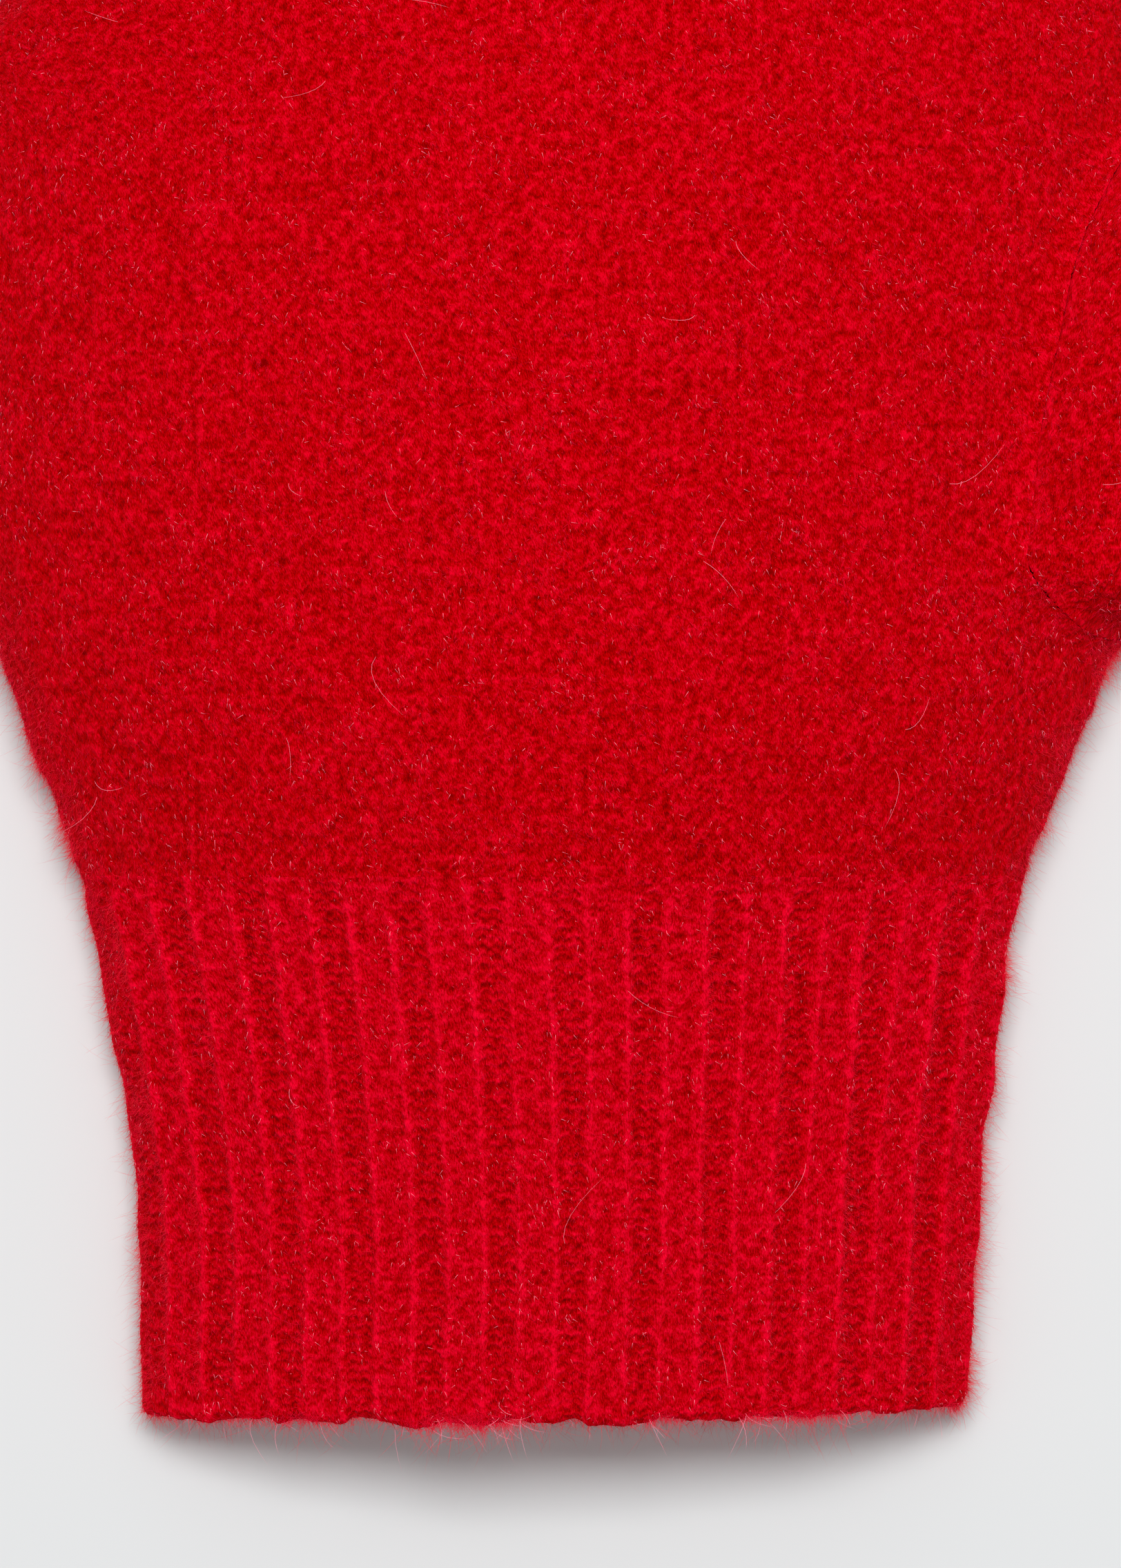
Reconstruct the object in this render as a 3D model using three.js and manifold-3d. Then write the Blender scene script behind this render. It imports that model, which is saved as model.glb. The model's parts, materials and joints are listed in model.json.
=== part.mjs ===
// A pair of knitted gloves lying palm up, side by side, with the thumbs on the outside.
// Millimetres, +Z up. The gloves lie on z = 0 and are mirror images about x = 0.
// Each glove has a ribbed cuff with a finishing edge, a hand, a thumb and four fingers.
// The knitted tubes are hollow, with walls as thick as the fabric. The thumb and the
// fingers are each in two lengths, and every bend has a wedge left open on the palm
// side, where the soft fabric folds in on itself.
import * as THREE from "three";
import { LoftGeometry } from "three/addons/geometries/LoftGeometry.js";
import { mergeVertices } from "three/addons/utils/BufferGeometryUtils.js";
import Module from "manifold-3d";

const wasm = await Module();
wasm.setup();

// ---- Driving dimensions of one glove. Its own frame has the edge of the cuff at y = 0,
// the fingers towards +Y and the thumb towards +X. ----
const FABRIC = 1.6; // thickness of the knitted fabric
const GAP = 0.4; // left between two solids that meet at a bend or a seam
const LENGTH = 222; // cuff edge to the tip of the middle finger
const PAIR_SPACING = 120; // centre line to centre line of the two cuffs
const EDGE_DEPTH = 2.8; // depth of the finishing edge of the cuff
const CUFF_LENGTH = 48.4; // edge to the end of the ribs, where the wrist bends
const CROTCH_LINE = 147; // y of the top of the hand at the middle finger
const CROTCH_BOW = 0.003; // the top of the hand falls away as this times x squared
const CROTCH_PEAK = 10; // x at which the top of the hand is furthest out

// Half widths towards the little finger and towards the thumb, height at the middle, and
// the height of the widest line, at distances y from the cuff's edge.
const CUFF_STATIONS = [
  { y: 0, left: 37.3, right: 37.1, height: 15.2, edge: 5.0 },
  { y: 12, left: 37.4, right: 37.2, height: 15.6, edge: 5.0 },
  { y: 24, left: 38.2, right: 37.8, height: 16.2, edge: 5.2 },
  { y: 36, left: 40.0, right: 39.4, height: 17.0, edge: 5.5 },
  { y: CUFF_LENGTH, left: 43.4, right: 41.8, height: 18.0, edge: 5.8 },
];
const HAND_STATIONS = [
  { y: CUFF_LENGTH, left: 43.4, right: 41.8, height: 18.0, edge: 5.8 },
  { y: 58, left: 47.2, right: 45.6, height: 19.6, edge: 6.2 },
  { y: 67, left: 50.2, right: 49.4, height: 21.0, edge: 6.5 },
  { y: 80, left: 52.6, right: 52.4, height: 22.0, edge: 6.5 },
  { y: 100, left: 53.4, right: 53.4, height: 21.6, edge: 6.5 },
  { y: 124, left: 51.6, right: 52.2, height: 19.4, edge: 6.2 },
  { y: CROTCH_LINE, left: 44.6, right: 47.0, height: 15.0, edge: 5.6 },
];

// Each finger: x of its root, degrees off straight towards the thumb, half width at the
// root, and length from the root to the tip.
const FINGERS = {
  index: { x: 35.0, splay: 2.5, half: 11.2, length: 69 },
  middle: { x: 11.6, splay: 0, half: 11.4, length: LENGTH - CROTCH_LINE },
  ring: { x: -11.6, splay: -3, half: 11.2, length: 70 },
  little: { x: -33.6, splay: -8, half: 10.2, length: 57 },
};
const FINGER = { height: 14, edge: 5.5, taper: 0.9, rooted: 16, knuckle: 5.2, middle: 0.53 };
const TIP_ROUND = 11; // length of the rounded end of a finger

// The thumb leaves the side of the hand along a gusset that starts far down the hand. Its
// hollow reaches well into the hand, so that there is a way through.
const THUMB = { x: 64.9, y: 110.9, splay: 24, length: 56, knuckle: 6, middle: 32 };
const THUMB_STATIONS = [
  { y: -46, left: 9.0, right: 4.6, height: 15.0, edge: 5.5 },
  { y: -30, left: 14.0, right: 6.8, height: 16.4, edge: 5.8 },
  { y: -14, left: 16.0, right: 10.2, height: 16.4, edge: 6.0 },
  { y: 0, left: 12.5, right: 12.5, height: 15.4, edge: 5.8 },
  { y: THUMB.length - TIP_ROUND, left: 11.2, right: 11.2, height: 14.4, edge: 5.5 },
];

// Bends, in degrees towards the palm, and the heights of their axes.
const WRIST_BEND = { degrees: 60, z: 11 };
const KNUCKLE_BEND = { degrees: 80, z: 9 };
const MIDDLE_BEND = { degrees: 90, z: 9 };
const THUMB_BEND = { degrees: 60, z: 9.5 };
const THUMB_MIDDLE_BEND = { degrees: 75, z: 9.5 };
const WEDGE_EASE = 1.5; // degrees a wedge is opened further on each side
const WEDGE_BELOW = 0.3; // how far the point of a wedge lies below the axis
const WEDGE_RISE = 14; // how far a wedge is carried up, past the top of the glove
const WEDGE_REACH = 0.25; // how far a wedge runs past the tube it cuts

const SIDES = { hand: 28, finger: 16 };
const TIP_STEPS = 4;
const TIP_LAST = 82; // degrees round the finger's end at which its last section lies
const PAST = 1; // how far a hollow is carried past an open end, so that it cuts through

// ---- Shapes ----

function solidOf(geometry) {
  const bare = new THREE.BufferGeometry();
  bare.setAttribute("position", geometry.attributes.position);
  bare.setIndex(geometry.index);
  const merged = mergeVertices(bare, 1e-3);
  return new wasm.Manifold(
    new wasm.Mesh({
      numProp: 3,
      vertProperties: merged.attributes.position.array,
      triVerts: new Uint32Array(merged.index.array),
    }),
  );
}

function geometryOf(solid) {
  const mesh = solid.getMesh();
  const geometry = new THREE.BufferGeometry();
  geometry.setAttribute("position", new THREE.BufferAttribute(mesh.vertProperties, 3));
  geometry.setIndex(new THREE.BufferAttribute(mesh.triVerts, 1));
  geometry.computeVertexNormals();
  return geometry;
}

// The section of a tube lying on a table: an arched top, rounded sides, a flat underside.
// inset moves it in by a wall's thickness; shrink draws it in about its widest line.
function section(station, inset, sides, bow) {
  const { y, left, right, height, edge, shrink = 1 } = station;
  const half = (left + right) / 2 - inset;
  const centre = (right - left) / 2;
  const corner = edge - inset;
  const points = [];
  for (let i = 0; i < sides; i++) {
    const angle = (i / sides) * 2 * Math.PI;
    const across = half * Math.cos(angle);
    const past = Math.max(0, Math.abs(across) - (half - corner));
    const above = (height - inset - edge) * Math.sin(angle);
    const below = -Math.sqrt(Math.max(0, corner * corner - past * past));
    const x = centre + across * shrink;
    const z = edge + (angle <= Math.PI ? above : below) * shrink;
    points.push(new THREE.Vector3(x, y - bow * (x - CROTCH_PEAK) ** 2, z));
  }
  return points.reverse();
}

function loft(stations, inset, sides) {
  const sections = stations.map((s) => section(s, inset, sides, s.bow ?? 0));
  return solidOf(new LoftGeometry(sections, { capStart: true, capEnd: true }));
}

// The stations of a tube between two distances, with new ones where it starts and ends.
function between(stations, start, end) {
  const at = (y) => {
    const next = Math.max(1, stations.findIndex((s) => s.y >= y));
    const [a, b] = [stations[next - 1], stations[next]];
    const mixed = { y };
    for (const key of ["left", "right", "height", "edge"]) {
      mixed[key] = THREE.MathUtils.lerp(a[key], b[key], (y - a.y) / (b.y - a.y));
    }
    return mixed;
  };
  const inside = stations.filter((s) => s.y > start && s.y < end);
  return [at(start), ...inside, at(end)];
}

// The rounded end of a finger, after its last straight station. It stops at a small flat.
function roundedEnd(station, round) {
  const last = THREE.MathUtils.degToRad(TIP_LAST);
  return Array.from({ length: TIP_STEPS }, (_, i) => {
    const angle = ((i + 1) / TIP_STEPS) * last;
    const y = station.y + (round * Math.sin(angle)) / Math.sin(last);
    return { ...station, y, shrink: Math.cos(angle) };
  });
}

const moved = (station, by) => ({ ...station, y: station.y + by });

function hollowTube(stations, sides) {
  const inner = [moved(stations[0], -PAST), ...stations.slice(1, -1), moved(stations.at(-1), PAST)];
  return loft(stations, 0, sides).subtract(loft(inner, FABRIC, sides));
}

function hollowTip(stations) {
  const end = stations.at(-1);
  const outer = [...stations, ...roundedEnd(end, TIP_ROUND)];
  const inner = [moved(stations[0], -PAST), end, ...roundedEnd(end, TIP_ROUND - FABRIC)];
  return loft(outer, 0, SIDES.finger).subtract(loft(inner, FABRIC, SIDES.finger));
}

// The wedge left open for a bend at y: its point is just below the axis, and it opens up.
function wedge(y, bend, half) {
  const reach = half + WEDGE_REACH;
  const slope = Math.tan(THREE.MathUtils.degToRad(bend.degrees / 2 + WEDGE_EASE));
  const point = bend.z - WEDGE_BELOW;
  const outline = new THREE.Shape([
    new THREE.Vector2(y, point),
    new THREE.Vector2(y + WEDGE_RISE * slope, point + WEDGE_RISE),
    new THREE.Vector2(y - WEDGE_RISE * slope, point + WEDGE_RISE),
  ]);
  const geometry = new THREE.ExtrudeGeometry(outline, { depth: 2 * reach, bevelEnabled: false });
  const [alongX, alongY, alongZ] = [0, 1, 2].map((i) => new THREE.Vector3().setComponent(i, 1));
  geometry.applyMatrix4(new THREE.Matrix4().makeBasis(alongY, alongZ, alongX));
  geometry.translate(-reach, 0, 0);
  return solidOf(geometry);
}

// ---- One glove, as named solids ----

const solids = {};
const rootOf = (x) => CROTCH_LINE - CROTCH_BOW * (x - CROTCH_PEAK) ** 2;

solids.cuff_edge = hollowTube(between(CUFF_STATIONS, 0, EDGE_DEPTH), SIDES.hand);
const wristWedge = wedge(CUFF_LENGTH, WRIST_BEND, CUFF_STATIONS.at(-1).left);
const ribs = between(CUFF_STATIONS, EDGE_DEPTH + GAP, CUFF_LENGTH - GAP / 2);
solids.rib_cuff = hollowTube(ribs, SIDES.hand).subtract(wristWedge);

// The hand is closed at its top, between the fingers, and open at the wrist.
const handOuter = between(HAND_STATIONS, CUFF_LENGTH + GAP / 2, CROTCH_LINE);
handOuter.at(-1).bow = CROTCH_BOW;
const handInner = handOuter.map((s) => ({ ...s }));
handInner[0].y -= PAST;
handInner.at(-1).y -= FABRIC;
let outer = loft(handOuter, 0, SIDES.hand);
let inner = loft(handInner, FABRIC, SIDES.hand);
let folds = wristWedge;

const digits = Object.entries(FINGERS).map(([name, finger]) => {
  const { half, length } = finger;
  const tube = (y, width) => ({ y, left: width, right: width, height: FINGER.height, edge: FINGER.edge });
  return {
    name,
    x: finger.x,
    y: rootOf(finger.x),
    splay: finger.splay,
    stations: [tube(-FINGER.rooted, half), tube(0, half), tube(length - TIP_ROUND, half * FINGER.taper)],
    knuckle: { ...KNUCKLE_BEND, at: FINGER.knuckle },
    middle: { ...MIDDLE_BEND, at: length * FINGER.middle },
  };
});
digits.push({
  name: "thumb",
  x: THUMB.x,
  y: THUMB.y,
  splay: THUMB.splay,
  stations: THUMB_STATIONS,
  knuckle: { ...THUMB_BEND, at: THUMB.knuckle },
  middle: { ...THUMB_MIDDLE_BEND, at: THUMB.middle },
});

for (const { name, x, y, splay, stations, knuckle, middle } of digits) {
  const place = (solid) => solid.rotate([0, 0, -splay]).translate([x, y, 0]);
  const end = stations.at(-1).y;
  const widest = Math.max(...stations.map((s) => s.left));
  const root = between(stations, stations[0].y, knuckle.at - GAP / 2);
  const rootHollow = [...root.slice(0, -1), moved(root.at(-1), PAST)];
  const knuckleWedge = wedge(knuckle.at, knuckle, widest);
  const middleWedge = wedge(middle.at, middle, widest);
  outer = outer.add(place(loft(root, 0, SIDES.finger)));
  inner = inner.add(place(loft(rootHollow, FABRIC, SIDES.finger)));
  folds = folds.add(place(knuckleWedge));

  const base = hollowTube(
    between(stations, knuckle.at + GAP / 2, middle.at - GAP / 2),
    SIDES.finger,
  );
  const tip = hollowTip(between(stations, middle.at + GAP / 2, end));
  solids[`${name}_base`] = place(base.subtract(knuckleWedge).subtract(middleWedge));
  solids[`${name}_tip`] = place(tip.subtract(middleWedge));
}
solids.hand = outer.subtract(inner).subtract(folds);

// ---- The pair ----

const knit = new THREE.MeshStandardMaterial({ color: 0xbe020d, roughness: 0.95, metalness: 0 });
const rib = new THREE.MeshStandardMaterial({ color: 0xc2030f, roughness: 0.95, metalness: 0 });
const geometries = Object.fromEntries(
  Object.entries(solids).map(([name, solid]) => [name, geometryOf(solid)]),
);

const pair = new THREE.Group();
pair.name = "knitted_gloves";
for (const [side, sign] of [["right", 1], ["left", -1]]) {
  const glove = new THREE.Group();
  glove.name = `${side}_glove`;
  glove.position.set((sign * PAIR_SPACING) / 2, -LENGTH / 2, 0);
  glove.scale.x = sign;
  for (const [name, geometry] of Object.entries(geometries)) {
    const ribbed = name === "cuff_edge" || name === "rib_cuff";
    const mesh = new THREE.Mesh(geometry, (ribbed ? rib : knit).clone());
    mesh.name = `${side}_${name}`;
    glove.add(mesh);
  }
  pair.add(glove);
}

export default pair;
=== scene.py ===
"""A pair of red brushed-knit gloves with ribbed cuffs, seen from straight above one cuff.

The knit is built as tubes of fabric round the CAD model's hollow solids. Every point of a
tube is known by its wale (column of stitches) and course (row of stitches), and the ribs,
the stitches and the felting are relief on that. Loose fibres are thin strands of their own.
Sizes here are in millimetres in one glove's own frame: x towards the thumb, y from the edge
of the cuff to the fingertips, z up. place() turns them into the shared frame's metres.
"""

import json
import math

import bpy
import numpy as np
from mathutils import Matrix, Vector


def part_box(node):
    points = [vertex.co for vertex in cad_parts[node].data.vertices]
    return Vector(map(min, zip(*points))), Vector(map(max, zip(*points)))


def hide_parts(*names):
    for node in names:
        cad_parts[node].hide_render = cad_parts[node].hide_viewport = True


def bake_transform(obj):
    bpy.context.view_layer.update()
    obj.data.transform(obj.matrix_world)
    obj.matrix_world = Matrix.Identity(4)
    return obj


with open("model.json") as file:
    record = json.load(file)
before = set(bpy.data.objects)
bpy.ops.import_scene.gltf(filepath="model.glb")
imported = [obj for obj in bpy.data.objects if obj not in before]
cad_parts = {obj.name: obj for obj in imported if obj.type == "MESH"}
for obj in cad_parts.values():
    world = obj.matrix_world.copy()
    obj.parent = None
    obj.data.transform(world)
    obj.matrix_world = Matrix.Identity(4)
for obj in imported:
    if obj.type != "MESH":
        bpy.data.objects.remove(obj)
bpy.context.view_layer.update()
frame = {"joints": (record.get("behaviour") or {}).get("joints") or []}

# ---- Sizes ----

MM = 0.001
JOINTS = {j["name"]: j for j in frame["joints"]}
CENTRE_X = JOINTS["right_wrist"]["pos_m"][0] / MM  # the right glove's centre line
EDGE_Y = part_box("right_cuff_edge")[0].y / MM  # the shared frame's y at the cuff's edge
WRIST = JOINTS["right_wrist"]["pos_m"][1] / MM - EDGE_Y  # where the ribs end

COURSE = 0.8  # height of a stitch
WALE = 1.12  # width of a stitch in the hand
RIB_WALE = 1.08  # and in the cuff
RIB_WALES = 144  # stitches round the cuff
REPEAT = 6  # wales in one rib and the furrow beside it
KNIT_WALES = 4  # of those, the wales of the rib
PER_WALE = 4  # mesh columns to a stitch of the cuff
PER_COURSE = 3  # mesh rows to a stitch of the cuff
HAND_ROW = 0.5  # mesh row spacing in the hand
DIGIT_ROW = 0.46  # and in the digits
INNER_ROW = 2.2  # and inside the cuff
LIP_ROWS = 8  # mesh rows round the cuff's edge
AROUND = RIB_WALES * PER_WALE  # mesh columns round the sleeve
TOP_COLUMNS = AROUND // 2
FINGER_COLUMNS = TOP_COLUMNS // 4
FABRIC = 1.8  # thickness of the fabric

# y, half width towards the little finger, half width towards the thumb, height, edge height
STATIONS = np.array([
    (0.0, 37.4, 36.6, 14.8, 3.2),
    (6.0, 37.8, 36.8, 15.0, 3.2),
    (12.0, 37.5, 37.3, 15.2, 3.2),
    (19.5, 37.9, 37.5, 15.6, 3.2),
    (27.0, 39.0, 38.3, 16.0, 3.2),
    (34.0, 40.1, 39.3, 16.6, 3.3),
    (41.5, 41.6, 40.1, 17.2, 3.4),
    (46.5, 42.9, 41.1, 17.8, 3.5),
    (51.4, 44.3, 42.8, 18.8, 3.6),
    (56.3, 46.1, 44.7, 19.8, 3.7),
    (61.3, 48.2, 46.8, 20.6, 3.8),
    (66.2, 49.8, 48.7, 21.0, 4.0),
    (74.0, 51.7, 51.0, 21.4, 4.2),
    (86.0, 53.2, 53.0, 21.6, 4.4),
    (100.0, 53.4, 53.4, 21.2, 4.6),
    (124.0, 52.2, 52.4, 19.0, 4.8),
    (132.0, 51.2, 51.6, 17.8, 5.0),
    (140.0, 48.6, 50.0, 16.2, 5.2),
    (147.0, 43.8, 46.2, 14.6, 5.5),
])
# the line of the finger roots: its highest y, how much it bows, and the x where it is highest
CROTCH_LINE, CROTCH_BOW, CROTCH_PEAK = 147.0, 0.003, 10.0
# y where the hand starts to turn into the row of finger roots: the spacing of its columns, the
# dips between the fingers, and the bow
SPACING_FROM, SPACING_TO, DIPS_FROM, BOW_FROM = 92, 138, 133, 110
# how square a section is above its widest line, in the hand and in a digit, and below it
HAND_ARCH, DIGIT_ARCH, BELLY = 1.75, 2.3, 5.0
FLANK_STRETCH = 0.28  # how closely wales follow the fabric down its steep flanks

FINGERS = {  # x of the root, degrees of splay, half width, length
    "little": (-33.6, -8.0, 10.2, 57.0),
    "ring": (-11.6, -3.0, 11.2, 70.0),
    "middle": (11.6, 0.0, 11.4, 75.0),
    "index": (35.0, 2.5, 11.2, 69.0),
}
# height, height of the widest line, width at the tip against the root, length of the round tip
FINGER_HEIGHT, FINGER_EDGE, FINGER_TAPER, TIP_ROUND = 14.0, 5.5, 0.9, 11.0
# lengths over which a finger takes its own section and its rows turn square to it
SETTLE, STRAIGHTEN = 7.0, 12.0
THUMB_ORIGIN, THUMB_SPLAY, THUMB_LENGTH = (64.9, 110.9), 24.0, 56.0
# distance along the thumb, half widths towards and away from the hand, height, edge height
THUMB_STATIONS = np.array([
    (-46.0, 9.0, 4.4, 14.0, 5.5),
    (-30.0, 14.0, 6.8, 15.8, 5.8),
    (-14.0, 16.0, 10.2, 16.0, 6.0),
    (0.0, 12.5, 12.5, 15.2, 5.8),
    (45.0, 11.2, 11.2, 14.2, 5.5),
])
THUMB_COLUMNS = 156
THUMB_CLEAR = 14  # distance along the thumb past which it is clear of the hand
THUMB_FADE = 10.0  # length over which the thumb runs out into the hand, towards the wrist
WELD = 4.5  # how far from the seam the thumb and the hand draw together
WELD_ROWS = 55, 135  # y between which the hand can meet the thumb
WELD_X = 20  # and x from which it can
SEAM_HEIGHT, SEAM_WIDTH = 0.30, 0.8  # the ridge where the thumb is sewn on
NO_SEAM = -10.0  # distance from the seam given to points far from it
SINK = 0.25  # how far the relief is sunk into the tube it is laid on
CLEARANCE = 0.05  # least height of the fabric above the floor

WRIST_BEND, DIGIT_BEND = 9, 7.0  # distances to each side of a joint, given to dress() as the span of a bend
# distances along the thumb: its knuckle, its middle joint, and where it starts to bend
THUMB_JOINTS = 6.0, 32.0, -0.5
# and along a finger, the middle joint as a share of the finger's length
FINGER_KNUCKLE, FINGER_MIDDLE, FINGER_START = 5.2, 0.53, 0.3


# ---- Helpers ----

def smooth(t):
    t = np.clip(t, 0, 1)
    return t * t * (3 - 2 * t)


def mix(a, b, t):
    return a + (b - a) * t


def random_lattice(i, j, k, seed):
    """A repeatable value from -1 to 1 for each corner of a lattice."""
    n = (i * 374761393 + j * 668265263 + k * 1274126177 + seed * 974634777) & 0xFFFFFFFF
    n = ((n ^ (n >> 13)) * 1274126177) & 0xFFFFFFFF
    return ((n ^ (n >> 16)) & 0xFFFF) / 32767.5 - 1


def noise(points, size, seed):
    """Smooth noise from -1 to 1 with lumps of the given size, at an array of points."""
    q = points / np.asarray(size, float)
    cell = np.floor(q).astype(np.int64)
    f = smooth(q - cell)
    total = 0
    for corner in range(8):
        step = np.array([corner & 1, corner >> 1 & 1, corner >> 2 & 1])
        at = cell + step
        weight = np.prod(np.where(step, f, 1 - f), axis=-1)
        total = total + weight * random_lattice(at[..., 0], at[..., 1], at[..., 2], seed)
    return total


def smooth_stations(stations, at):
    """Each column of the stations at the given distances, rounded off between stations."""
    reach = np.linspace(-3, 3, 7)
    return [
        np.mean([np.interp(at + r, stations[:, 0], column) for r in reach], axis=0)
        for column in stations[:, 1:].T
    ]


def arc(half, height, power, count, samples=600):
    """count + 1 points evenly spaced along half a superellipse, from x = -half to +half."""
    phi = np.pi * smooth(np.linspace(0, 1, samples))
    x = -half * np.sign(np.cos(phi)) * np.abs(np.cos(phi)) ** (2 / power)
    z = height * np.sin(phi).clip(0) ** (2 / power)
    run = np.concatenate([[0], np.cumsum(np.hypot(np.diff(x), FLANK_STRETCH * np.diff(z)))])
    at = np.linspace(0, run[-1], count + 1)
    return np.interp(at, run, x), np.interp(at, run, z)


def ring(left, right, height, edge, top, bottom):
    """A digit's closed section as x, z: over the top from the left, then back underneath."""
    half, centre = (left + right) / 2, (right - left) / 2
    x1, z1 = arc(half, height - edge, DIGIT_ARCH, top)
    x2, z2 = arc(half, edge, BELLY, bottom)
    x = np.concatenate([x1[:-1], x2[::-1][:-1]]) + centre
    z = np.concatenate([z1[:-1], -z2[::-1][:-1]]) + edge
    return x, z


def normals(grid):
    """Unit normals of a grid of points whose columns close on themselves."""
    across = np.roll(grid, -1, axis=1) - np.roll(grid, 1, axis=1)
    along = np.gradient(grid, axis=0)
    n = np.cross(across, along)
    return n / np.linalg.norm(n, axis=-1, keepdims=True).clip(1e-9)


# ---- Relief of the knit, in millimetres ----

RIB_PROFILE = {  # height across one rib and furrow, by wale
    0.0: -0.05, 0.25: 0.08, 0.5: 0.28, 0.75: 0.12, 1.1: 0.02, 1.6: 0.0, 2.4: 0.0, 3.0: 0.04,
    3.25: 0.12, 3.5: 0.32, 3.75: 0.16, 4.0: -0.04, 4.3: -0.14, 5.0: -0.10, 5.7: -0.13,
}
RIDGES = 0.5, 3.5  # the wales that stand up most
RIBS_FADE_FROM, RIBS_FADE = 3.2, 3.6  # how far under the wrist the ribs fade, and over what length
EDGE_ZONE = 5.0  # height of the flatter, wavier zone at the cuff's edge
FIRST_WALE = 3.75  # where in the repeat the wales start, at the side away from the thumb


def rib_relief(wale, y, uneven):
    """Four knitted wales standing up and two purled wales sunk between them."""
    r = np.mod(wale, REPEAT)
    base = np.interp(r, list(RIB_PROFILE), list(RIB_PROFILE.values()), period=REPEAT)
    p = np.mod(wale, 1)
    course = y / COURSE + uneven
    knitted = smooth((np.minimum(r, KNIT_WALES - r) + 0.15) / 0.3)
    legs = 0.03 * -np.cos(4 * np.pi * p)
    vees = 0.05 * np.cos(2 * np.pi * (course - 0.8 * np.abs(2 * p - 1)))
    purls = 0.08 * np.cos(2 * np.pi * course + 1.0 * np.cos(2 * np.pi * p))
    return base + knitted * (legs + vees) + (1 - knitted) * purls


def plain_relief(wale, course):
    """Plain knitting under a brushed nap: faint columns of V stitches."""
    p = np.mod(wale, 1)
    columns = 0.035 * -np.cos(4 * np.pi * p) - 0.03 * np.cos(2 * np.pi * p)
    vees = 0.05 * np.cos(2 * np.pi * (course - 0.8 * np.abs(2 * p - 1)))
    return columns + vees


def nap_relief(points):
    """The felted surface: tufts about as big as a stitch, and slacker, wider swells."""
    tufts = 0.13 * noise(points, (0.8, 1.1, 0.8), 1) + 0.10 * noise(points, 1.9, 2)
    swells = 0.20 * noise(points, 5.0, 3) + 0.30 * noise(points, 20.0, 4)
    return tufts, swells


def seam_relief(side):
    """The ridge of the thumb's seam, from each point's distance to it."""
    return SEAM_HEIGHT * np.exp(-(side / SEAM_WIDTH) ** 2)


def off_floor(base):
    """0 where the fabric lies on the floor, which presses its swells flat, and 1 above."""
    return smooth((base[..., 2] - 0.2) / 2.5)


def plain_wales(x, z, top_z, edge_z):
    """Stitch columns counted out from the middle of the top or the bottom of a tube."""
    drop = np.where(z >= edge_z, top_z - z, z)
    return np.sign(x) * (np.abs(x) + drop.clip(0)) / WALE


# ---- The sleeve: cuff and hand as one grid of points ----

def sleeve_rows():
    """y and inset of each row: down the inside of the cuff, round its edge, up the outside."""
    lip = FABRIC / 2
    inner_y = np.arange(WRIST - 0.4, lip + 0.5, -INNER_ROW)
    turn = np.linspace(np.pi, 0, LIP_ROWS)
    cuff_top = round((WRIST - lip) / COURSE * PER_COURSE)
    outer_y = lip + np.arange(1, cuff_top + 1) * COURSE / PER_COURSE
    hand_rows = round((CROTCH_LINE - WRIST) / HAND_ROW)
    hand_y = np.linspace(outer_y[-1], CROTCH_LINE, hand_rows + 1)[1:]
    y = np.concatenate([inner_y, lip - lip * np.sin(turn), outer_y, hand_y])
    outer_inset = np.zeros(len(outer_y) + len(hand_y))
    inner_inset = np.full(len(inner_y), FABRIC)
    inset = np.concatenate([inner_inset, lip - lip * np.cos(turn), outer_inset])
    return y, inset, len(inner_y) + len(turn) + len(outer_y)


def lobes():
    """The four finger roots side by side: x from -1 to 1 and z, over the top and underneath."""
    xs, tops, bottoms = [], [], []
    names = list(FINGERS)
    for index, name in enumerate(names):
        x, _, half, _ = FINGERS[name]
        before = FINGERS[names[index - 1]] if index else None
        after = FINGERS[names[index + 1]] if index + 1 < len(names) else None
        low = (before[0] + before[2] + x - half) / 2 if before else x - half
        high = (after[0] - after[2] + x + half) / 2 if after else x + half
        wide, centre = (high - low) / 2, (high + low) / 2
        x1, z1 = arc(wide, FINGER_HEIGHT - FINGER_EDGE, DIGIT_ARCH, FINGER_COLUMNS)
        x2, z2 = arc(wide, FINGER_EDGE, BELLY, FINGER_COLUMNS)
        xs.append((x1[:-1] + centre, x2[:-1] + centre))
        tops.append(z1[:-1])
        bottoms.append(z2[:-1])
    over = np.concatenate([x for x, _ in xs] + [[high]])
    under = np.concatenate([x for _, x in xs] + [[high]])
    middle, half = (over[0] + over[-1]) / 2, (over[-1] - over[0]) / 2
    over, under = (over - middle) / half, (under - middle) / half
    return over, np.concatenate(tops + [[0.0]]), under, np.concatenate(bottoms + [[0.0]])


def profile(x, half, centre, height, power):
    """The height of half a superellipse at x."""
    u = (np.abs(x - centre) / half).clip(0, 1)
    return height * (1 - u ** power) ** (1 / power)


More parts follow.
